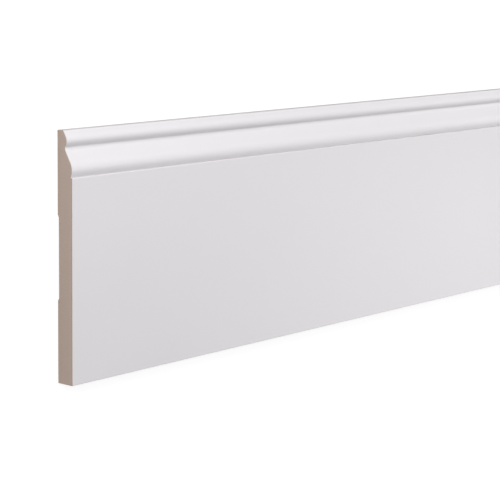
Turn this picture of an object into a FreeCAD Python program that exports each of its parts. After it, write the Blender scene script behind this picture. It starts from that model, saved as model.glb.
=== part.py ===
"""Skirting board: one length of moulded fibreboard stock, lying on its back with the face up.

The board is one piece. Its blank is planed to thickness, a moulding cutter runs the section into
the face, a wider cutter relieves the middle of the back, and the long edges are eased.

Frame, in millimetres: X runs along the length, Y across the board towards its moulded top edge,
and Z out of the face. The origin is the middle of the footprint, and the two lands of the back
rest on Z = 0.

The section is drawn in the plane across the length, where u is Y and v is Z. Down from the top
edge it is: the top land, a straight slope, the bead, a hollow quirk that opens out as a cove, the
long slope of the ogee, the roll, the ledge where it is sunk below the face, and the flat face down
to the bottom edge. A drop is measured down from the top edge, and a depth back from the face.
"""

import FreeCAD, Part
import math
import os

import Sketcher
from FreeCAD import Vector

NODE = "skirting_board"

# Driving sizes, in millimetres and degrees
BOARD = {
    "board_length": 2000.0,
    "board_height": 200.0,
    "board_thickness": 16.0,
}
MOULDING = {
    "top_slope_angle": 31.0,
    "bead_drop": 8.2,
    "bead_depth": 5.9,
    "bead_radius": 6.7,
    "quirk_relief": 1.8,
    "quirk_radius": 2.3,
    "cove_radius": 5.5,
    "ogee_slope_angle": 31.5,
    "roll_depth": 0.25,
    "roll_radius": 12.0,
    "crest_to_ledge": 5.6,
}
BACK = {
    "channel_mouth": 68.0,
    "channel_depth": 1.2,
    "channel_flank": 2.0,
}
EDGES = {
    "face_arris_radius": 0.4,
    "ledge_arris_radius": 0.6,
    "back_arris_chamfer": 0.3,
}


def size_sheet(doc):
    """The sheet of driving sizes, one row for each, with the size's name as its alias."""
    sheet = doc.addObject("Spreadsheet::Sheet", "sizes")
    row = 1
    for group in (BOARD, MOULDING, BACK, EDGES):
        for name, value in group.items():
            sheet.set(f"A{row}", name)
            sheet.set(f"B{row}", str(value))
            sheet.setAlias(f"B{row}", name)
            row += 1
    doc.recompute()
    return sheet


def cross_sketch(body, name):
    """A sketch on the body's own plane across the length, where u is Y and v is Z."""
    sketch = body.newObject("Sketcher::SketchObject", name)
    plane = next(f for f in body.Origin.OriginFeatures if f.Role == "YZ_Plane")
    sketch.AttachmentSupport = [(plane, "")]
    sketch.MapMode = "FlatFace"
    return sketch


def size_it(sketch, kind, places, value, expression, name):
    """Adds a dimension to a sketch and binds it to the sheet."""
    index = sketch.addConstraint(Sketcher.Constraint(kind, *places, value))
    sketch.renameConstraint(index, name)
    sketch.setExpression(f"Constraints.{name}", expression)


def section_points(sheet):
    """The section's corners, tangent points and arc centres, worked out from the driving sizes."""
    top = sheet.board_height / 2
    face = sheet.board_thickness

    # The slope above the bead runs from its tangent point down to the top land.
    bead = Vector(top - sheet.bead_drop, face - sheet.bead_depth - sheet.bead_radius)
    lean = math.radians(sheet.top_slope_angle)
    bead_start = bead + Vector(math.sin(lean), math.cos(lean)) * sheet.bead_radius
    top_front = Vector(top, bead_start.y - (top - bead_start.x) * math.tan(lean))

    # The bead turns straight into the hollow quirk, so their centres are both radii apart.
    quirk_height = face - sheet.bead_depth - sheet.quirk_relief + sheet.quirk_radius
    reach = sheet.bead_radius + sheet.quirk_radius
    quirk = Vector(bead.x - math.sqrt(reach**2 - (quirk_height - bead.y) ** 2), quirk_height)
    bead_end = bead + (quirk - bead) * (sheet.bead_radius / reach)

    # At the quirk's lowest point the wider cove takes over, so their centres are one above the other.
    quirk_floor = quirk - Vector(0, sheet.quirk_radius)
    cove = quirk_floor + Vector(0, sheet.cove_radius)

    # The ogee's slope leaves the cove at its angle and meets the roll where the roll has it too.
    lean = math.radians(sheet.ogee_slope_angle)
    normal = Vector(math.sin(lean), math.cos(lean))
    slope_top = cove - normal * sheet.cove_radius
    roll_height = face - sheet.roll_depth - sheet.roll_radius
    foot_height = roll_height + normal.y * sheet.roll_radius
    slope_run = (foot_height - slope_top.y) / math.tan(lean)
    slope_foot = Vector(slope_top.x - slope_run, foot_height)
    roll = slope_foot - normal * sheet.roll_radius

    # The roll runs on past its crest and dips, and the ledge stands up from it to the face.
    dip = math.sqrt(sheet.roll_radius**2 - sheet.crest_to_ledge**2)
    roll_end = roll + Vector(-sheet.crest_to_ledge, dip)
    return {
        "top_back": Vector(top, 0),
        "top_front": top_front,
        "bead": bead,
        "bead_start": bead_start,
        "bead_end": bead_end,
        "quirk": quirk,
        "quirk_floor": quirk_floor,
        "cove": cove,
        "slope_top": slope_top,
        "slope_foot": slope_foot,
        "roll": roll,
        "roll_end": roll_end,
        "ledge_top": Vector(roll_end.x, face),
        "bottom_front": Vector(-top, face),
        "bottom_back": Vector(-top, 0),
    }


def arc(centre, start, end):
    """The arc that runs counter-clockwise round centre, from start to end."""
    first = math.atan2(start.y - centre.y, start.x - centre.x)
    last = math.atan2(end.y - centre.y, end.x - centre.x)
    if last < first:
        last += 2 * math.pi
    circle = Part.Circle(centre, Vector(0, 0, 1), (start - centre).Length)
    return Part.ArcOfCircle(circle, first, last)


def draw_section(body, sheet):
    """The closed outline of the board across its length, held by its sizes and its tangencies."""
    sketch = cross_sketch(body, "section")
    at = section_points(sheet)
    start, end, centre = 1, 2, 3

    top = sketch.addGeometry(Part.LineSegment(at["top_back"], at["top_front"]))
    top_slope = sketch.addGeometry(Part.LineSegment(at["top_front"], at["bead_start"]))
    bead = sketch.addGeometry(arc(at["bead"], at["bead_start"], at["bead_end"]))
    quirk = sketch.addGeometry(arc(at["quirk"], at["quirk_floor"], at["bead_end"]))
    cove = sketch.addGeometry(arc(at["cove"], at["slope_top"], at["quirk_floor"]))
    ogee = sketch.addGeometry(Part.LineSegment(at["slope_top"], at["slope_foot"]))
    roll = sketch.addGeometry(arc(at["roll"], at["slope_foot"], at["roll_end"]))
    ledge = sketch.addGeometry(Part.LineSegment(at["roll_end"], at["ledge_top"]))
    face = sketch.addGeometry(Part.LineSegment(at["ledge_top"], at["bottom_front"]))
    bottom = sketch.addGeometry(Part.LineSegment(at["bottom_front"], at["bottom_back"]))
    back = sketch.addGeometry(Part.LineSegment(at["bottom_back"], at["top_back"]))

    joins = (
        ("Coincident", back, end, top, start),
        ("Coincident", top, end, top_slope, start),
        ("Tangent", top_slope, end, bead, start),
        ("Tangent", bead, end, quirk, end),
        ("Tangent", quirk, start, cove, end),
        ("Vertical", quirk, centre, cove, centre),
        ("Tangent", cove, start, ogee, start),
        ("Tangent", ogee, end, roll, start),
        ("Coincident", roll, end, ledge, start),
        ("Coincident", ledge, end, face, start),
        ("Coincident", face, end, bottom, start),
        ("Coincident", bottom, end, back, start),
        ("Vertical", top),
        ("Vertical", ledge),
        ("Horizontal", face),
        ("Vertical", bottom),
        ("Horizontal", back),
    )
    for join in joins:
        sketch.addConstraint(Sketcher.Constraint(*join))

    origin = (-1, 1)
    heel = (back, start)
    toe = (face, end)
    bead_centre = "sizes.bead_depth + sizes.bead_radius"
    quirk_centre = "sizes.bead_depth + sizes.quirk_relief - sizes.quirk_radius"
    roll_centre = "sizes.roll_depth + sizes.roll_radius"
    sketch.addConstraint(Sketcher.Constraint("DistanceY", *origin, *heel, 0.0))
    dimensions = (
        ("half_height", "DistanceX", heel, origin, "sizes.board_height / 2"),
        ("height", "DistanceX", heel, (back, end), "sizes.board_height"),
        ("thickness", "DistanceY", heel, toe, "sizes.board_thickness"),
        ("bead_drop", "DistanceX", (bead, centre), (top, end), "sizes.bead_drop"),
        ("bead_centre", "DistanceY", (bead, centre), toe, bead_centre),
        ("quirk_centre", "DistanceY", (quirk, centre), toe, quirk_centre),
        ("roll_centre", "DistanceY", (roll, centre), toe, roll_centre),
        ("ledge", "DistanceX", (roll, end), (roll, centre), "sizes.crest_to_ledge"),
    )
    for name, kind, first, second, expression in dimensions:
        gap = sketch.getPoint(*second) - sketch.getPoint(*first)
        value = gap.x if kind == "DistanceX" else gap.y
        size_it(sketch, kind, (*first, *second), value, expression, name)
    arcs = (("bead_radius", bead), ("quirk_radius", quirk), ("cove_radius", cove), ("roll_radius", roll))
    for name, curve in arcs:
        size_it(sketch, "Radius", (curve,), getattr(sheet, name), f"sizes.{name}", name)
    for name, slope in (("top_slope_angle", top_slope), ("ogee_slope_angle", ogee)):
        value = math.radians(180 - getattr(sheet, name))
        size_it(sketch, "Angle", (slope,), value, f"(180 - sizes.{name}) * 1 deg", name)
    return sketch


def draw_channel(body, sheet):
    """The relief in the back: a shallow trapezium, wider at its mouth, centred on the height."""
    sketch = cross_sketch(body, "channel_section")
    mouth = sheet.channel_mouth / 2
    floor = mouth - sheet.channel_flank
    deep = sheet.channel_depth
    corners = [Vector(-mouth, 0), Vector(mouth, 0), Vector(floor, deep), Vector(-floor, deep)]
    nexts = corners[1:] + corners[:1]
    sides = [sketch.addGeometry(Part.LineSegment(a, b)) for a, b in zip(corners, nexts)]

    start, end = 1, 2
    for side, following in zip(sides, sides[1:] + sides[:1]):
        sketch.addConstraint(Sketcher.Constraint("Coincident", side, end, following, start))
    mouth_line, _, floor_line, _ = sides
    origin = (-1, 1)
    ends = (mouth_line, start, mouth_line, end)
    sketch.addConstraint(Sketcher.Constraint("Horizontal", mouth_line))
    sketch.addConstraint(Sketcher.Constraint("Horizontal", floor_line))
    sketch.addConstraint(Sketcher.Constraint("Symmetric", *ends, *origin))
    size_it(sketch, "DistanceX", ends, 2 * mouth, "sizes.channel_mouth", "mouth")
    rise = (*origin, floor_line, end)
    size_it(sketch, "DistanceY", rise, deep, "sizes.channel_depth", "depth")
    flank = sheet.channel_flank
    lower = (mouth_line, start, floor_line, end)
    upper = (floor_line, start, mouth_line, end)
    size_it(sketch, "DistanceX", lower, flank, "sizes.channel_flank", "lower_flank")
    size_it(sketch, "DistanceX", upper, flank, "sizes.channel_flank", "upper_flank")
    return sketch


def long_edges(shape, corners, tolerance=1e-4):
    """Names of the edges that run the whole length through the given corners of the section."""
    names = []
    for number, edge in enumerate(shape.Edges, start=1):
        ends = [v.Point for v in edge.Vertexes]
        if abs(abs(ends[-1].x - ends[0].x) - edge.Length) > tolerance:
            continue
        if any(abs(ends[0].y - c.x) + abs(ends[0].z - c.y) < tolerance for c in corners):
            names.append(f"Edge{number}")
    return names


def skirting_board(doc, sheet):
    """The board: a moulded length, relieved at the back, with its long arrises eased."""
    body = doc.addObject("PartDesign::Body", NODE)
    body.Label = NODE
    at = section_points(sheet)

    section = draw_section(body, sheet)
    length = body.newObject("PartDesign::Pad", "moulded_length")
    length.Profile = section
    length.SideType = "Symmetric"
    length.setExpression("Length", "sizes.board_length")
    doc.recompute()
    uncut = length.Shape.Volume

    channel = body.newObject("PartDesign::Pocket", "back_channel")
    channel.Profile = draw_channel(body, sheet)
    channel.Type = "ThroughAll"
    channel.SideType = "Symmetric"
    doc.recompute()
    if channel.Shape.Volume >= uncut:
        raise RuntimeError("the back channel cut nothing")

    eased = body.newObject("PartDesign::Fillet", "face_arrises")
    face_corners = [at["top_front"], at["bottom_front"]]
    eased.Base = (channel, long_edges(channel.Shape, face_corners))
    eased.setExpression("Radius", "sizes.face_arris_radius")
    doc.recompute()

    ledge = body.newObject("PartDesign::Fillet", "ledge_arris")
    ledge.Base = (eased, long_edges(eased.Shape, [at["ledge_top"]]))
    ledge.setExpression("Radius", "sizes.ledge_arris_radius")
    doc.recompute()

    broken = body.newObject("PartDesign::Chamfer", "back_arrises")
    back_corners = [at["top_back"], at["bottom_back"]]
    broken.Base = (ledge, long_edges(ledge.Shape, back_corners))
    broken.setExpression("Size", "sizes.back_arris_chamfer")
    doc.recompute()
    body.Tip = broken
    return body


def check(doc, body):
    """Stops the build where a feature failed or the board is not one closed, valid solid."""
    failed = [o.Label for o in doc.Objects if {"Invalid", "Error"} & set(o.State)]
    if failed:
        raise RuntimeError(f"these features failed: {failed}")
    if body.Shape.isNull() or not body.Shape.isValid() or len(body.Shape.Solids) != 1:
        raise RuntimeError(f"{body.Label} is not one valid solid")


def main():
    doc = FreeCAD.newDocument("skirting")
    sheet = size_sheet(doc)
    body = skirting_board(doc, sheet)
    doc.recompute()
    check(doc, body)
    os.makedirs("parts", exist_ok=True)
    body.Shape.exportStep(f"parts/{body.Label}.step")

    box = body.Shape.BoundBox
    at = section_points(sheet)
    print(f"{body.Label}: {box.XLength:.1f} x {box.YLength:.1f} x {box.ZLength:.1f} mm")
    print(f"volume {body.Shape.Volume / 1e3:.1f} cm3, {len(body.Shape.Faces)} faces")
    print(f"top land {at['top_front'].y:.2f} mm wide")
    print(f"moulding {at['top_back'].x - at['roll_end'].x:.2f} mm high")
    print(f"ledge {at['ledge_top'].y - at['roll_end'].y:.2f} mm high")


main()
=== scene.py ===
# %% [markdown]
# # A skirting board length
# Skirting covers the joint between a wall and its floor. This one is medium-density fibreboard,
# run through a moulder that cuts a bead and an ogee along its top edge, sprayed white in a factory
# and sawn square to a length that fits in a van. It lies on its back, face up, as it does on a
# shop's rack, with its bare brown end towards the camera.
#
# Everything here is in metres, X along the length, Y across the face towards the moulding and Z up.

# %% Load the frame
import math

import bpy
from mathutils import Matrix, Vector


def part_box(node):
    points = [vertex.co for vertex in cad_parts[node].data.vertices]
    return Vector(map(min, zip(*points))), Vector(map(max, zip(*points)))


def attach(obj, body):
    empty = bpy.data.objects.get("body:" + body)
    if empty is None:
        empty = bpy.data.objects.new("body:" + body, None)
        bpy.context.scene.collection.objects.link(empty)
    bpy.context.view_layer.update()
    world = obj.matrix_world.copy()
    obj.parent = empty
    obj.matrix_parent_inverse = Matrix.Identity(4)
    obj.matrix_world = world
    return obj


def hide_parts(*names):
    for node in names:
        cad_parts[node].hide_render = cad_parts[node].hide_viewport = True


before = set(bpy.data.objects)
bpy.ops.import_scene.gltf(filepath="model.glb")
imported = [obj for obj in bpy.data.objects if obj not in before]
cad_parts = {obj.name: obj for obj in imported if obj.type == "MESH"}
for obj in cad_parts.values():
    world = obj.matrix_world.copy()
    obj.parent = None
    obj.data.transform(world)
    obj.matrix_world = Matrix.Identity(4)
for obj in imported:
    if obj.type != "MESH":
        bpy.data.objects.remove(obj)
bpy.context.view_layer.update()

MM = 0.001
NODE = "skirting_board"
low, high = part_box(NODE)
print("board", [round((b - a) / MM, 2) for a, b in zip(low, high)], "mm")

# %% [markdown]
# ## The section
# A moulding is its section, carried along a line. The section could be traced as a row of points,
# but the cutter that made it was ground to straight lines and arcs, so it is drawn with those: each
# run knows its own normal, and where two runs are tangent their normals agree by themselves. The
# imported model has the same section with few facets. A new mesh with a facet every three degrees of
# arc is made from the same radii, so that the light rolls over the bead without steps.

# %% Sizes of the section
TOP_SLOPE_ANGLE = 31.0
BEAD_DROP = 8.2 * MM
BEAD_DEPTH = 5.9 * MM
BEAD_RADIUS = 6.7 * MM
QUIRK_RELIEF = 1.8 * MM
QUIRK_RADIUS = 2.3 * MM
COVE_RADIUS = 5.5 * MM
OGEE_SLOPE_ANGLE = 31.5
ROLL_DEPTH = 0.25 * MM
ROLL_RADIUS = 12.0 * MM
CREST_TO_LEDGE = 5.6 * MM
CHANNEL_MOUTH = 68.0 * MM
CHANNEL_FLANK = 2.0 * MM
CHANNEL_DEPTH = 1.2 * MM
FACE_ARRIS_RADIUS = 0.4 * MM
LEDGE_ARRIS_RADIUS = 0.6 * MM
BACK_ARRIS_CHAMFER = 0.3 * MM

top, face, foot = high.y, high.z, low.y
print("the section spans Y from", round(foot / MM, 2), "to", round(top / MM, 2), "mm")

# %% Runs of the section
FACET_ANGLE = 3.0
PAINTED, SAWN, BARE = 0, 1, 2


def line(start, end, finish):
    """A straight run: its two points, each with the normal that looks out of the board."""
    along = (end - start).normalized()
    normal = Vector((along.y, -along.x))
    return [(start, normal, finish), (end, normal, finish)]


def arc(centre, radius, first, last, finish, hollow=False):
    """A round run from one angle to another, in degrees from +Y towards +Z."""
    steps = max(2, round(abs(last - first) / FACET_ANGLE))
    run = []
    for i in range(steps + 1):
        angle = math.radians(first + (last - first) * i / steps)
        out = Vector((math.cos(angle), math.sin(angle)))
        run.append((centre + out * radius, -out if hollow else out, finish))
    return run


def slope_normal(angle):
    """The normal of a slope that falls towards the top edge at this angle."""
    return Vector((math.sin(math.radians(angle)), math.cos(math.radians(angle))))


print("a quarter turn has", len(arc(Vector((0, 0)), 1, 0, 90, PAINTED)) - 1, "facets")

# %% [markdown]
# Each arc's centre follows from the one before. A straight run and an arc are tangent where the
# centre lies one radius away, square to the run. Two arcs that bend opposite ways are tangent where
# their centres are the sum of their radii apart. That fixes every place with no trial and error.

# %% Bead and quirk
upper = slope_normal(TOP_SLOPE_ANGLE)
bead = Vector((top - BEAD_DROP, face - BEAD_DEPTH - BEAD_RADIUS))
bead_start = bead + upper * BEAD_RADIUS
quirk_floor = face - BEAD_DEPTH - QUIRK_RELIEF
quirk_height = quirk_floor + QUIRK_RADIUS
reach = BEAD_RADIUS + QUIRK_RADIUS
quirk = Vector((bead.x - math.sqrt(reach**2 - (quirk_height - bead.y) ** 2), quirk_height))
bead_turn = math.degrees(math.atan2(quirk.y - bead.y, quirk.x - bead.x))
print("the quirk is", round((top - quirk.x) / MM, 2), "mm below the top edge")

# %% Cove, slope and roll
lower = slope_normal(OGEE_SLOPE_ANGLE)
cove = Vector((quirk.x, quirk_floor + COVE_RADIUS))
slope_top = cove - lower * COVE_RADIUS
roll_height = face - ROLL_DEPTH - ROLL_RADIUS
foot_height = roll_height + lower.y * ROLL_RADIUS
slope_run = (foot_height - slope_top.y) / math.tan(math.radians(OGEE_SLOPE_ANGLE))
slope_foot = Vector((slope_top.x - slope_run, foot_height))
roll = slope_foot - lower * ROLL_RADIUS
dip = math.sqrt(ROLL_RADIUS**2 - CREST_TO_LEDGE**2)
roll_end = roll + Vector((-CREST_TO_LEDGE, dip))
roll_turn = math.degrees(math.atan2(dip, -CREST_TO_LEDGE))
print("the roll's crest is", round((top - roll.x) / MM, 2), "mm below the top edge")
print("the ledge is", round((top - roll_end.x) / MM, 2), "mm below it")
print("and", round((face - roll_end.y) / MM, 2), "mm high")

# %% Eased arrises
land_front = bead_start.y - (top - bead_start.x) * math.tan(math.radians(TOP_SLOPE_ANGLE))
setback = FACE_ARRIS_RADIUS * math.tan(math.radians((90 - TOP_SLOPE_ANGLE) / 2))
top_arris = Vector((top - FACE_ARRIS_RADIUS, land_front - setback))
ledge_arris = Vector((roll_end.x - LEDGE_ARRIS_RADIUS, face - LEDGE_ARRIS_RADIUS))
bottom_arris = Vector((foot + FACE_ARRIS_RADIUS, face - FACE_ARRIS_RADIUS))
print("the top land is", round(land_front / MM, 2), "mm wide")

# %% The back, with its channel
mouth, floor_half = CHANNEL_MOUTH / 2, CHANNEL_MOUTH / 2 - CHANNEL_FLANK
back_points = [
    Vector((foot, BACK_ARRIS_CHAMFER)),
    Vector((foot + BACK_ARRIS_CHAMFER, 0)),
    Vector((-mouth, 0)),
    Vector((-floor_half, CHANNEL_DEPTH)),
    Vector((floor_half, CHANNEL_DEPTH)),
    Vector((mouth, 0)),
    Vector((top - BACK_ARRIS_CHAMFER, 0)),
    Vector((top, BACK_ARRIS_CHAMFER)),
]
print("each land is", round((top - BACK_ARRIS_CHAMFER - mouth) / MM, 2), "mm wide")

# %% The whole section, anticlockwise seen from the far end
slope_head = top_arris + upper * FACE_ARRIS_RADIUS
ledge_top = Vector((roll_end.x, ledge_arris.y))
face_start = Vector((ledge_arris.x, face))
face_end = Vector((bottom_arris.x, face))
edge_start = Vector((foot, bottom_arris.y))
runs = [
    line(back_points[-1], Vector((top, top_arris.y)), PAINTED),
    arc(top_arris, FACE_ARRIS_RADIUS, 0, 90 - TOP_SLOPE_ANGLE, PAINTED),
    line(slope_head, bead_start, PAINTED),
    arc(bead, BEAD_RADIUS, 90 - TOP_SLOPE_ANGLE, bead_turn, PAINTED),
    arc(quirk, QUIRK_RADIUS, bead_turn + 180, 270, PAINTED, hollow=True),
    arc(cove, COVE_RADIUS, 270, 270 - OGEE_SLOPE_ANGLE, PAINTED, hollow=True),
    line(slope_top, slope_foot, PAINTED),
    arc(roll, ROLL_RADIUS, 90 - OGEE_SLOPE_ANGLE, roll_turn, PAINTED),
    line(roll_end, ledge_top, PAINTED),
    arc(ledge_arris, LEDGE_ARRIS_RADIUS, 0, 90, PAINTED),
    line(face_start, face_end, PAINTED),
    arc(bottom_arris, FACE_ARRIS_RADIUS, 90, 180, PAINTED),
    line(edge_start, back_points[0], PAINTED),
]
runs += [line(a, b, BARE) for a, b in zip(back_points, back_points[1:])]
print(len(runs), "runs,", sum(len(run) - 1 for run in runs), "facets round the section")

# %% [markdown]
# ## Sweeping the section
# The board is the section drawn at stations along the length and joined by strips of faces. A curve
# with this section as its bevel would be quicker, but it works out its own normals, and the wide
# flat face would borrow a tilt from the tiny facets beside it. So each strip keeps the exact
# normals of its run, which Blender calls custom split normals. The saw leaves a sharp end: only a
# hair of a bevel is there, enough for the arris to catch a line of light up close.

# %% Stations along the length
END_BEVEL = 0.12 * MM
STATION_GAP = 50 * MM

length = high.x - low.x
spans = round(length / STATION_GAP)
stations = [low.x + END_BEVEL]
stations += [low.x + length * i / spans for i in range(1, spans)]
stations += [high.x - END_BEVEL]
print(len(stations), "stations")

# %% Points round the section
LEAST_COSINE = 0.5  # a sharper corner moves in no further than this allows


def corner_inset(before, after):
    """How a corner between two runs moves in when both of their surfaces move in by one."""
    middle = (before + after).normalized()
    return middle / max(middle.dot(before), LEAST_COSINE)


outline, insets = [], []
for before, run in zip([runs[-1]] + runs[:-1], runs):
    outline.append(run[0][0])
    insets.append(corner_inset(before[-1][1], run[0][1]))
    for point, normal, _ in run[1:-1]:
        outline.append(point)
        insets.append(normal)
count = len(outline)
print(count, "points round the section")

# %% Rings of vertices: one at each station, and one for each flat end, moved in by the bevel
verts = [(x, p.x, p.y) for x in stations for p in outline]
near_cap = len(verts)
far_cap = near_cap + count
last_ring = near_cap - count
for x in (low.x, high.x):
    for point, inset in zip(outline, insets):
        moved = point - inset * END_BEVEL
        verts.append((x, moved.x, moved.y))
print(len(verts), "vertices")

# %% Faces, each with its finish and its corners' normals
faces, finishes, normals = [], [], []


def strip(i, j, n0, n1, finish):
    """The faces of one facet of the section, from the first station to the last."""
    for near in range(0, last_ring, count):
        far = near + count
        faces.append((near + i, near + j, far + j, far + i))
        finishes.append(finish)
        normals.extend([(0, *n0), (0, *n1), (0, *n1), (0, *n0)])


def bevel(side, corners, n0, n1):
    """The narrow face that joins one facet to a flat end, at -X or at +X."""
    tilt = Vector((side, *((n0 + n1) / 2).normalized())).normalized()
    faces.append(corners)
    finishes.append(SAWN)
    normals.extend([tuple(tilt)] * 4)


facets = [(n0, n1, finish) for run in runs for (_, n0, finish), (_, n1, _) in zip(run, run[1:])]
for i, (n0, n1, finish) in enumerate(facets):
    j = (i + 1) % count
    strip(i, j, n0, n1, finish)
    bevel(-1, (near_cap + i, near_cap + j, j, i), n0, n1)
    bevel(1, (last_ring + i, last_ring + j, far_cap + j, far_cap + i), n0, n1)
faces.append(tuple(near_cap + i for i in reversed(range(count))))
faces.append(tuple(far_cap + i for i in range(count)))
finishes += [SAWN, SAWN]
normals += [(-1, 0, 0)] * count + [(1, 0, 0)] * count
print(len(faces), "faces")

# %% The board's mesh
mesh = bpy.data.meshes.new("moulded_board")
mesh.from_pydata(verts, [], faces)
mesh.polygons.foreach_set("material_index", finishes)
mesh.polygons.foreach_set("use_smooth", [True] * len(faces))
mesh.normals_split_custom_set(normals)
mesh.update()
board = bpy.data.objects.new("moulded_board", mesh)
bpy.context.scene.collection.objects.link(board)
print("the mesh is", [round(side / MM, 2) for side in board.dimensions], "mm")

# %% [markdown]
# ## Tools for the finishes
# Paint charts and pickers give colours as sRGB hex, while shaders add light up in linear values,
# so one function converts. A second adds a node with its settings and wires in one call. A third
# turns a real size into a texture's scale: a Noise node at scale 1 has one lump in every metre.


# %% Colour and node helpers
def colour(hex_code):
    """An sRGB hex colour as the linear RGBA that shaders use."""
    parts = [int(hex_code[i : i + 2], 16) / 255 for i in (1, 3, 5)]
    return (*(c / 12.92 if c <= 0.04045 else ((c + 0.055) / 1.055) ** 2.4 for c in parts), 1.0)


def new_material(name):
    """An empty node material, its tree, and the places on the object in metres."""
    material = bpy.data.materials.new(name)
    material.use_nodes = True
    tree = material.node_tree
    tree.nodes.clear()
    return material, tree, add(tree, "ShaderNodeTexCoord").outputs["Object"]


def add(tree, kind, inputs=None, **settings):
    """Adds a node. An input is a value to set or an output socket to link; the rest are settings."""
    node = tree.nodes.new(kind)
    for key, value in settings.items():
        setattr(node, key, value)
    for key, value in (inputs or {}).items():
        if isinstance(value, bpy.types.NodeSocket):
            tree.links.new(value, node.inputs[key])
        else:
            node.inputs[key].default_value = value
    return node


def cycles_per_metre(pitch):
    """The texture scale at which a pattern repeats about once in this many metres."""
    return 1 / pitch


COLOUR_OUT = 2  # a Mix node has an output for each kind of data, and the third is colour
print("mid grey", [round(c, 3) for c in colour("#808080")[:3]])

# %% [markdown]
# ## Satin paint, sprayed on sanded fibreboard
# The factory sprays a water-based acrylic in thin coats and sands between them. To the eye it is a
# soft white with a satin sheen: the light spreads over the moulding in broad bands and not in a
# mirror's lines. One even colour would do from across a room. Up close the real one has orange
# peel, the low dimples that spray droplets leave, and over the machined moulding a few cutter lines
# telegraph through. The dimples are some micrometres deep, so they are bump and not geometry: they
# move the highlight and never the outline. The narrow top land, which stands on edge to the face,
# is given painted shade, a darker grey in its colour, and a rougher, drier finish.

# %% Paint: the white, a little uneven
PAINT_WHITE = colour("#E5E2E5")
PAINT_SHADE = colour("#E2DFE2")
MOTTLE_PITCH = 60 * MM
MOTTLE_OCTAVES = 3.0

paint, paint_tree, paint_at = new_material("satin_acrylic_sprayed_on_fibreboard")
mottle = add(
    paint_tree,
    "ShaderNodeTexNoise",
    {"Vector": paint_at, "Scale": cycles_per_metre(MOTTLE_PITCH), "Detail": MOTTLE_OCTAVES},
).outputs["Fac"]
white = add(
    paint_tree,
    "ShaderNodeMix",
    {"Factor": mottle, "A": PAINT_SHADE, "B": PAINT_WHITE},
    data_type="RGBA",
).outputs[COLOUR_OUT]
print("the white drifts over", round(MOTTLE_PITCH / MM), "mm")

# %% Paint: painted shade on the top land, by how near a place is to the top land's plane
# The grey mixed in here is painted shade: it makes the top land darker than the face.
LAND_PAINTED_SHADE = colour("#CAC7C9")
LAND_FADE = 0.4 * MM

paint_across = add(paint_tree, "ShaderNodeSeparateXYZ", {"Vector": paint_at}).outputs["Y"]
land = add(
    paint_tree,
    "ShaderNodeMapRange",
    {"Value": paint_across, "From Min": top - LAND_FADE, "From Max": top - LAND_FADE / 2},
    interpolation_type="SMOOTHSTEP",
).outputs["Result"]
coat = add(
    paint_tree,
    "ShaderNodeMix",
    {"Factor": land, "A": white, "B": LAND_PAINTED_SHADE},
    data_type="RGBA",
).outputs[COLOUR_OUT]
# The printed distance is where the painted shade on the top land begins.
print("the thin coat starts", round(LAND_FADE / MM, 2), "mm from the top edge")

# %% Paint: roughness
SATIN_ROUGHNESS = (0.30, 0.36)
LAND_ROUGHNESS = 0.6

satin = add(
    paint_tree,
    "ShaderNodeMapRange",
    {"Value": mottle, "To Min": SATIN_ROUGHNESS[0], "To Max": SATIN_ROUGHNESS[1]},
).outputs["Result"]
paint_roughness = add(
    paint_tree,
    "ShaderNodeMapRange",
    {"Value": land, "To Min": satin, "To Max": LAND_ROUGHNESS},
).outputs["Result"]
print("roughness", SATIN_ROUGHNESS, "and", LAND_ROUGHNESS, "on the top land")

# %% Paint: orange peel
PEEL_PITCH = 1.4 * MM
PEEL_DEPTH = 0.007 * MM
PEEL_OCTAVES = 1.0

peel = add(
    paint_tree,
    "ShaderNodeTexNoise",
    {"Vector": paint_at, "Scale": cycles_per_metre(PEEL_PITCH), "Detail": PEEL_OCTAVES},
).outputs["Fac"]
dimples = add(
    paint_tree, "ShaderNodeBump", {"Height": peel, "Distance": PEEL_DEPTH}
).outputs["Normal"]
print("dimples", round(PEEL_PITCH / MM, 2), "mm wide and", round(PEEL_DEPTH / MM, 4), "mm deep")

# %% Paint: cutter lines, the same noise drawn out along the length
CUTTER_PITCH = 0.7 * MM
CUTTER_DEPTH = 0.004 * MM
CUTTER_OCTAVES = 2.0
CUTTER_STRETCH = 100

drawn_out = add(
    paint_tree,
    "ShaderNodeMapping",
    {"Vector": paint_at, "Scale": (1 / CUTTER_STRETCH, 1.0, 1.0)},
).outputs["Vector"]
cutter_lines = add(
    paint_tree,
    "ShaderNodeTexNoise",
    {"Vector": drawn_out, "Scale": cycles_per_metre(CUTTER_PITCH), "Detail": CUTTER_OCTAVES},
).outputs["Fac"]
paint_normal = add(
    paint_tree,
    "ShaderNodeBump",
    {"Height": cutter_lines, "Distance": CUTTER_DEPTH, "Normal": dimples},
).outputs["Normal"]
print("cutter lines", round(CUTTER_PITCH / MM, 2), "mm apart")

# %% Paint: the shader
PAINT_IOR = 1.5

acrylic = add(
    paint_tree,
    "ShaderNodeBsdfPrincipled",
    {"Base Color": coat, "Roughness": paint_roughness, "IOR": PAINT_IOR, "Normal": paint_normal},
)
add(paint_tree, "ShaderNodeOutputMaterial", {"Surface": acrylic.outputs["BSDF"]})
print(paint.name, "has", len(paint_tree.nodes), "nodes")

# %% [markdown]
# ## Fibreboard, sawn across
# Medium-density fibreboard is wood ground to fibres and pressed flat with resin, so a sawn end has
# no grain: it is an even felt of short fibres that lie along the board's faces. A photograph of a
# cut could show that, but it would repeat and fit one distance only. One noise pattern, squeezed to
# a fibre's proportions, does neither. A fibre is 0.05 mm thick and would be lost here, so the felt
# is drawn four times as coarse. The press packs the skins tighter than the core, which makes them a
# little darker. The saw's teeth leave shallow arcs on a slant. An arc of a 300 mm blade bends by
# only 0.3 mm in crossing the board, so they are drawn as a straight wave.

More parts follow.
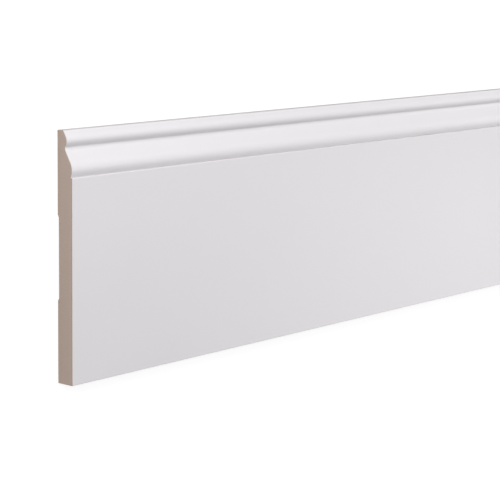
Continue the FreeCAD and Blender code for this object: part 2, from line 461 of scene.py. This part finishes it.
# %% Sawn end: the felt of fibres
SAWN_LIGHT = colour("#C4B1A5")
SAWN_DARK = colour("#B19F92")
FIBRE_THICKNESS = 0.22 * MM
FIBRE_LENGTH = 1.1 * MM
FIBRE_OCTAVES = 3.0
NOISE_RANGE = (0.3, 0.7)  # noise seldom leaves this range, so it is spread over the whole contrast

sawn, sawn_tree, sawn_at = new_material("medium_density_fibreboard_sawn")
squeeze = FIBRE_THICKNESS / FIBRE_LENGTH
laid = add(
    sawn_tree, "ShaderNodeMapping", {"Vector": sawn_at, "Scale": (squeeze, squeeze, 1.0)}
).outputs["Vector"]
felt = add(
    sawn_tree,
    "ShaderNodeTexNoise",
    {"Vector": laid, "Scale": cycles_per_metre(FIBRE_THICKNESS), "Detail": FIBRE_OCTAVES},
).outputs["Fac"]
felt_contrast = add(
    sawn_tree,
    "ShaderNodeMapRange",
    {"Value": felt, "From Min": NOISE_RANGE[0], "From Max": NOISE_RANGE[1]},
).outputs["Result"]
fibres = add(
    sawn_tree,
    "ShaderNodeMix",
    {"Factor": felt_contrast, "A": SAWN_DARK, "B": SAWN_LIGHT},
    data_type="RGBA",
).outputs[COLOUR_OUT]
print("fibres", round(FIBRE_THICKNESS / MM, 2), "by", round(FIBRE_LENGTH / MM, 2), "mm")

# %% Sawn end: the skins, by how near a height is to either face of the board
SKIN_TINT = colour("#F6F4F2")
SKIN_DEPTH = 1.4 * MM

height = add(sawn_tree, "ShaderNodeSeparateXYZ", {"Vector": sawn_at}).outputs["Z"]
from_middle = add(
    sawn_tree, "ShaderNodeMath", {0: height, 1: face / 2}, operation="SUBTRACT"
).outputs[0]
off_middle = add(sawn_tree, "ShaderNodeMath", {0: from_middle}, operation="ABSOLUTE").outputs[0]
skin = add(
    sawn_tree,
    "ShaderNodeMapRange",
    {"Value": off_middle, "From Min": face / 2 - SKIN_DEPTH, "From Max": face / 2},
    interpolation_type="SMOOTHSTEP",
).outputs["Result"]
sawn_colour = add(
    sawn_tree,
    "ShaderNodeMix",
    {"Factor": skin, "A": fibres, "B": SKIN_TINT},
    data_type="RGBA",
    blend_type="MULTIPLY",
).outputs[COLOUR_OUT]
print("skins", round(SKIN_DEPTH / MM, 2), "mm deep")

# %% Sawn end: the saw's lines
SAW_PITCH = 1.3 * MM
SAW_SLANT = 35.0
SAW_DEPTH = 0.035 * MM
SAW_WAVER = 1.5
SAW_OCTAVES = 1.0
WAVE_TURN = 20.0  # a Wave node turns by this many radians in a unit, and a line takes 2 pi of them

slanted = add(
    sawn_tree,
    "ShaderNodeMapping",
    {"Vector": sawn_at, "Rotation": (math.radians(SAW_SLANT), 0.0, 0.0)},
).outputs["Vector"]
saw_lines = add(
    sawn_tree,
    "ShaderNodeTexWave",
    {
        "Vector": slanted,
        "Scale": cycles_per_metre(SAW_PITCH) * math.tau / WAVE_TURN,
        "Distortion": SAW_WAVER,
        "Detail": SAW_OCTAVES,
    },
    wave_type="BANDS",
    bands_direction="Y",
).outputs["Fac"]
grooves = add(
    sawn_tree, "ShaderNodeBump", {"Height": saw_lines, "Distance": SAW_DEPTH}
).outputs["Normal"]
print("saw lines", round(SAW_PITCH / MM, 2), "mm apart at", SAW_SLANT, "degrees")

# %% Sawn end: the shader
FELT_DEPTH = 0.030 * MM
SAWN_ROUGHNESS = 0.92

sawn_normal = add(
    sawn_tree,
    "ShaderNodeBump",
    {"Height": felt, "Distance": FELT_DEPTH, "Normal": grooves},
).outputs["Normal"]
torn_fibres = add(
    sawn_tree,
    "ShaderNodeBsdfPrincipled",
    {"Base Color": sawn_colour, "Roughness": SAWN_ROUGHNESS, "Normal": sawn_normal},
)
add(sawn_tree, "ShaderNodeOutputMaterial", {"Surface": torn_fibres.outputs["BSDF"]})
print(sawn.name, "has", len(sawn_tree.nodes), "nodes")

# %% [markdown]
# ## Fibreboard, pressed and sanded
# The back is never seen once the board is up, so it stays bare. A wide belt sander brings it to
# thickness and leaves fine scratches along the length. A cutter head then mills the channel that
# lets the board sit flat on an uneven wall. Spray that drifted round the edges while the face was
# painted has dusted the back's margins white. The dust could be a second material on faces of its
# own, but its edge is soft and ragged, so it is mixed in by the place across the board.

# %% Bare back: flecks of fibre
BACK_LIGHT = colour("#BCAB9D")
BACK_DARK = colour("#A79587")
FLECK_PITCH = 0.9 * MM
FLECK_OCTAVES = 4.0

back, back_tree, back_at = new_material("medium_density_fibreboard_sanded")
flecks = add(
    back_tree,
    "ShaderNodeTexNoise",
    {"Vector": back_at, "Scale": cycles_per_metre(FLECK_PITCH), "Detail": FLECK_OCTAVES},
).outputs["Fac"]
fleck_contrast = add(
    back_tree,
    "ShaderNodeMapRange",
    {"Value": flecks, "From Min": NOISE_RANGE[0], "From Max": NOISE_RANGE[1]},
).outputs["Result"]
bare = add(
    back_tree,
    "ShaderNodeMix",
    {"Factor": fleck_contrast, "A": BACK_DARK, "B": BACK_LIGHT},
    data_type="RGBA",
).outputs[COLOUR_OUT]
print("flecks", round(FLECK_PITCH / MM, 2), "mm wide")

# %% Bare back: the dusting of paint, which fades from the long edges inwards
DUST_REACH = 7 * MM

back_across = add(back_tree, "ShaderNodeSeparateXYZ", {"Vector": back_at}).outputs["Y"]
off_centre = add(back_tree, "ShaderNodeMath", {0: back_across}, operation="ABSOLUTE").outputs[0]
near_edge = add(
    back_tree,
    "ShaderNodeMapRange",
    {"Value": off_centre, "From Min": top - DUST_REACH, "From Max": top},
    interpolation_type="SMOOTHSTEP",
).outputs["Result"]
dust = add(
    back_tree, "ShaderNodeMath", {0: near_edge, 1: fleck_contrast}, operation="MULTIPLY"
).outputs[0]
back_colour = add(
    back_tree,
    "ShaderNodeMix",
    {"Factor": dust, "A": bare, "B": PAINT_WHITE},
    data_type="RGBA",
).outputs[COLOUR_OUT]
print("paint dust reaches", round(DUST_REACH / MM), "mm in from each long edge")

# %% Bare back: the belt's scratches and the shader
BELT_PITCH = 0.8 * MM
BELT_DEPTH = 0.006 * MM
BELT_OCTAVES = 3.0
BELT_STRETCH = 50
BACK_ROUGHNESS = 0.85

belt_way = add(
    back_tree,
    "ShaderNodeMapping",
    {"Vector": back_at, "Scale": (1 / BELT_STRETCH, 1.0, 1.0)},
).outputs["Vector"]
scratches = add(
    back_tree,
    "ShaderNodeTexNoise",
    {"Vector": belt_way, "Scale": cycles_per_metre(BELT_PITCH), "Detail": BELT_OCTAVES},
).outputs["Fac"]
back_normal = add(
    back_tree, "ShaderNodeBump", {"Height": scratches, "Distance": BELT_DEPTH}
).outputs["Normal"]
sanded = add(
    back_tree,
    "ShaderNodeBsdfPrincipled",
    {"Base Color": back_colour, "Roughness": BACK_ROUGHNESS, "Normal": back_normal},
)
add(back_tree, "ShaderNodeOutputMaterial", {"Surface": sanded.outputs["BSDF"]})
print(back.name, "has", len(back_tree.nodes), "nodes")

# %% [markdown]
# ## Dressing the board
# Each strip of the mesh already says which finish it has, by a slot number: 0 is painted, 1 is sawn
# and 2 is bare. The materials are added in that order. The piece rides on the frame's one body and
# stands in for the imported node.

# %% Assign the finishes
for material in (paint, sawn, back):
    board.data.materials.append(material)
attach(board, "root")
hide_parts(NODE)
print("slots", [material.name for material in board.data.materials])

# %% [markdown]
# ## Floor
# The board lies on a plain white studio floor. A white floor lit like the white board would be no
# lighter than it, and more lamps would lighten both. Where the camera looks at it directly the
# floor is therefore mostly glow, which lifts it to white, and a quarter lit paint, in which the
# board's shadow still shows. Every other ray meets a plain matt floor, so the glow adds no light to
# the board.


# %% Which rays are looked along
def looked_along(tree):
    """1 for a ray from the camera or by way of a glossy surface, and 0 for light on its way."""
    ray = add(tree, "ShaderNodeLightPath").outputs
    return add(
        tree,
        "ShaderNodeMath",
        {0: ray["Is Camera Ray"], 1: ray["Is Glossy Ray"]},
        operation="MAXIMUM",
    ).outputs[0]


# %% Floor: its surface
FLOOR_WHITE = colour("#C0C0C0")
FLOOR_LIT_PART = colour("#898989")
FLOOR_GLOW = 0.86
FLOOR_GRAIN = 25 * MM
FLOOR_GRAIN_DEPTH = 0.05 * MM
FLOOR_OCTAVES = 4.0

floor_paint, floor_tree, floor_at = new_material("matt_white_floor")
grain = add(
    floor_tree,
    "ShaderNodeTexNoise",
    {"Vector": floor_at, "Scale": cycles_per_metre(FLOOR_GRAIN), "Detail": FLOOR_OCTAVES},
).outputs["Fac"]
floor_normal = add(
    floor_tree, "ShaderNodeBump", {"Height": grain, "Distance": FLOOR_GRAIN_DEPTH}
).outputs["Normal"]
matt, lit = (
    add(floor_tree, "ShaderNodeBsdfDiffuse", {"Color": shade, "Normal": floor_normal}).outputs["BSDF"]
    for shade in (FLOOR_WHITE, FLOOR_LIT_PART)
)
glow = add(floor_tree, "ShaderNodeEmission", {"Strength": FLOOR_GLOW}).outputs["Emission"]
lifted = add(floor_tree, "ShaderNodeAddShader", {0: lit, 1: glow}).outputs["Shader"]
floor_surface = add(
    floor_tree, "ShaderNodeMixShader", {0: looked_along(floor_tree), 1: matt, 2: lifted}
)
add(floor_tree, "ShaderNodeOutputMaterial", {"Surface": floor_surface.outputs["Shader"]})
print("the floor shows at", FLOOR_GLOW, "of white where no light reaches it")

# %% Floor: its plane, a hair lower than the board, so that no two faces share a plane
FLOOR_HALF = 30.0
FLOOR_GAP = 0.05 * MM

corners = [(-1, -1), (1, -1), (1, 1), (-1, 1)]
floor_mesh = bpy.data.meshes.new("studio_floor")
floor_mesh.from_pydata(
    [(x * FLOOR_HALF, y * FLOOR_HALF, -FLOOR_GAP) for x, y in corners], [], [(0, 1, 2, 3)]
)
floor_mesh.materials.append(floor_paint)
floor = bpy.data.objects.new("studio_floor", floor_mesh)
bpy.context.scene.collection.objects.link(floor)
print("the floor is", 2 * FLOOR_HALF, "m square")

# %% [markdown]
# ## Light
# The slopes of a moulding that face up the wall have to be its lightest bands and the undersides
# its darkest, so the light comes from above the top edge. Two sun lamps with wide angles stand for
# softboxes far away and light the whole two metres evenly: a strength of 1 here is the level at
# which a white surface that faces the lamp renders as white. One comes from the right and the other
# from the left, onto the sawn end. They alone would light the board as evenly as a diagram. Four
# area lamps do the rest: near the end that the camera sees, light that falls off along the board
# shows its length, a low lamp deepens the shaded bands, and the last one lifts the far half.


# %% Two kinds of lamp
def distant_softbox(name, towards, strength, angle):
    """A sun lamp that shines from this direction, with a soft edge this many degrees wide."""
    data = bpy.data.lights.new(name, "SUN")
    data.energy = strength * math.pi
    data.angle = math.radians(angle)
    lamp = bpy.data.objects.new(name, data)
    lamp.rotation_euler = Vector(towards).to_track_quat("Z", "Y").to_euler()
    bpy.context.scene.collection.objects.link(lamp)
    print(name, "strength", strength)


def close_softbox(name, place, aim, width, watts):
    """A square area lamp at a place, turned to a point on the board and unseen by the camera."""
    data = bpy.data.lights.new(name, "AREA")
    data.size = width
    data.energy = watts
    lamp = bpy.data.objects.new(name, data)
    lamp.location = place
    lamp.rotation_euler = (Vector(place) - Vector(aim)).to_track_quat("Z", "Y").to_euler()
    lamp.visible_camera = False
    bpy.context.scene.collection.objects.link(lamp)
    print(name, watts, "W")


# %% Lamps
NEAR_END = (-0.75, 0.05, 0.0)
FAR_END = (0.95, 0.0, 0.0)

distant_softbox("key_softbox", towards=(0.74, 0.25, 0.60), strength=0.39, angle=50)
distant_softbox("end_softbox", towards=(-0.60, 0.60, 0.52), strength=0.41, angle=50)
close_softbox("low_softbox", place=(-1.30, 0.80, 0.30), aim=NEAR_END, width=0.4, watts=1.2)
close_softbox("fill_softbox", place=(0.30, -0.30, 0.60), aim=NEAR_END, width=0.5, watts=1.45)
close_softbox("side_softbox", place=(-1.60, 0.30, 0.50), aim=NEAR_END, width=0.4, watts=1.9)
close_softbox("far_softbox", place=(0.95, 0.20, 0.80), aim=FAR_END, width=0.6, watts=1.6)

# %% World: a dim fill for the board, and white where it is looked at
WORLD_LEVEL = 0.2

world = bpy.data.worlds.new("studio")
world.use_nodes = True
bpy.context.scene.world = world
sky_tree = world.node_tree
sky_tree.nodes.clear()
sky_level = add(
    sky_tree,
    "ShaderNodeMapRange",
    {"Value": looked_along(sky_tree), "To Min": WORLD_LEVEL, "To Max": 1.0},
).outputs["Result"]
sky = add(sky_tree, "ShaderNodeBackground", {"Strength": sky_level})
add(sky_tree, "ShaderNodeOutputWorld", {"Surface": sky.outputs["Background"]})
print("the world lights the board at", WORLD_LEVEL, "of white")

# %% [markdown]
# ## Camera
# A long lens looks down on the near end at about 40 degrees. Up in the picture is +Y, so the
# board that lies flat is seen as it would be from the front of a wall, with its moulding on top.
# A camera that looks down makes uprights lean together. A shifted lens would keep them parallel,
# but the shift would stay in every other view. Rolling the camera by just under a degree instead
# takes the lean away from the sawn end, which is the only upright in the picture.

# %% Camera
CAMERA_PLACE = Vector((-1.98126, 0.24574, 1.03241))
CAMERA_AIM = Vector((-0.78841, -0.01701, 0.016))
CAMERA_ROLL = math.radians(0.80)
CAMERA_LENS = 133.06

forward = (CAMERA_AIM - CAMERA_PLACE).normalized()
level_right = forward.cross(Vector((0, 1, 0))).normalized()
level_up = level_right.cross(forward)
right = level_right * math.cos(CAMERA_ROLL) + level_up * math.sin(CAMERA_ROLL)
up = level_up * math.cos(CAMERA_ROLL) - level_right * math.sin(CAMERA_ROLL)
camera_data = bpy.data.cameras.new("camera")
camera_data.lens = CAMERA_LENS
camera = bpy.data.objects.new("camera", camera_data)
axes = Matrix((right, up, -forward)).transposed()
camera.matrix_world = Matrix.Translation(CAMERA_PLACE) @ axes.to_4x4()
bpy.context.scene.collection.objects.link(camera)
bpy.context.scene.camera = camera
bpy.context.scene.view_settings.view_transform = "Standard"
print("the camera looks down", round(math.degrees(math.asin(-forward.z)), 1), "degrees")
